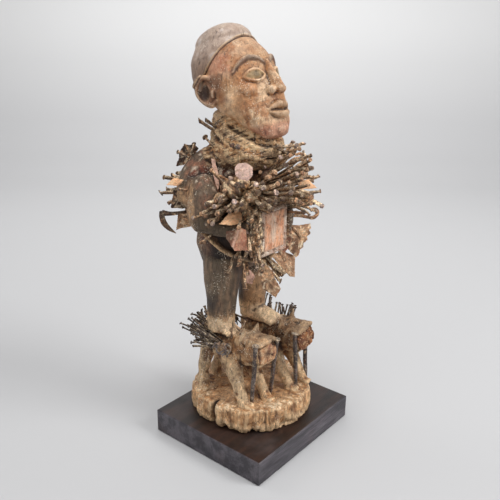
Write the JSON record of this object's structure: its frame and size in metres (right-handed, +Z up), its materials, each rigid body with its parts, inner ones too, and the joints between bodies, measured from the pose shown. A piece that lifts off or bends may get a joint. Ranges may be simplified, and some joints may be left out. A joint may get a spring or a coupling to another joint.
{
  "type": "nkisi nkondi figure",
  "caption": "Carved wooden power figure of a man standing on a pair of dogs, bristling with driven nails, blades and hooks, with a belly box, on a dark plinth.",
  "frame": {"origin": "centre of the plinth's underside", "axes": "+Z up; the man and both dogs face -Y; the man's left is +X"},
  "size_m": [0.3, 0.2902, 0.8024],
  "materials": {
    "carved_wood": "hand-carved, dry and encrusted, ochre dust over dark brown",
    "plinth_wood": "dark stained, satin",
    "iron": "hand-forged, rusted and encrusted",
    "box_frame": "rough, packed and encrusted",
    "red_panel": "worn red-orange colour",
    "mouth_resin": "rough resin and clay"
  },
  "bodies": {
    "root": {"carved_figure": "carved_wood", "belly_box": "box_frame", "belly_panel": "red_panel", "dog_1_mouth_resin": "mouth_resin", "dog_2_mouth_resin": "mouth_resin", "throat_nail_1": "iron", "throat_nail_2": "iron", "throat_nail_3": "iron", "chest_nail_1": "iron", "chest_nail_2": "iron", "chest_nail_3": "iron", "chest_nail_4": "iron", "chest_nail_5": "iron", "breast_nail_1": "iron", "breast_nail_2": "iron", "breast_nail_3": "iron", "breast_nail_4": "iron", "breast_nail_5": "iron", "side_nail_1": "iron", "side_nail_2": "iron", "side_nail_3": "iron", "flank_nail_1": "iron", "flank_nail_2": "iron", "lap_nail_1": "iron", "lap_nail_2": "iron", "lap_nail_3": "iron", "back_nail_1": "iron", "back_nail_2": "iron", "back_nail_3": "iron", "loin_nail_1": "iron", "loin_nail_2": "iron", "dog_1_nail_1": "iron", "dog_1_nail_2": "iron", "dog_1_nail_3": "iron", "dog_2_nail_1": "iron", "dog_2_nail_2": "iron", "dog_2_nail_3": "iron", "mouth_spike_1": "iron", "mouth_spike_2": "iron", "mouth_spike_3": "iron", "mouth_spike_4": "iron", "nape_plate": "iron", "shoulder_plate": "iron", "back_plate": "iron", "hip_plate": "iron", "leaf_blade": "iron", "pointed_plate": "iron", "tan_plate": "iron", "rolled_sheet": "iron", "saw_plate": "iron", "corner_blade": "iron", "lower_blade": "iron", "small_plate": "iron", "sickle_hook": "iron", "chest_hook": "iron", "side_hook": "iron", "display_plinth": "plinth_wood"}
  },
  "joints": []
}
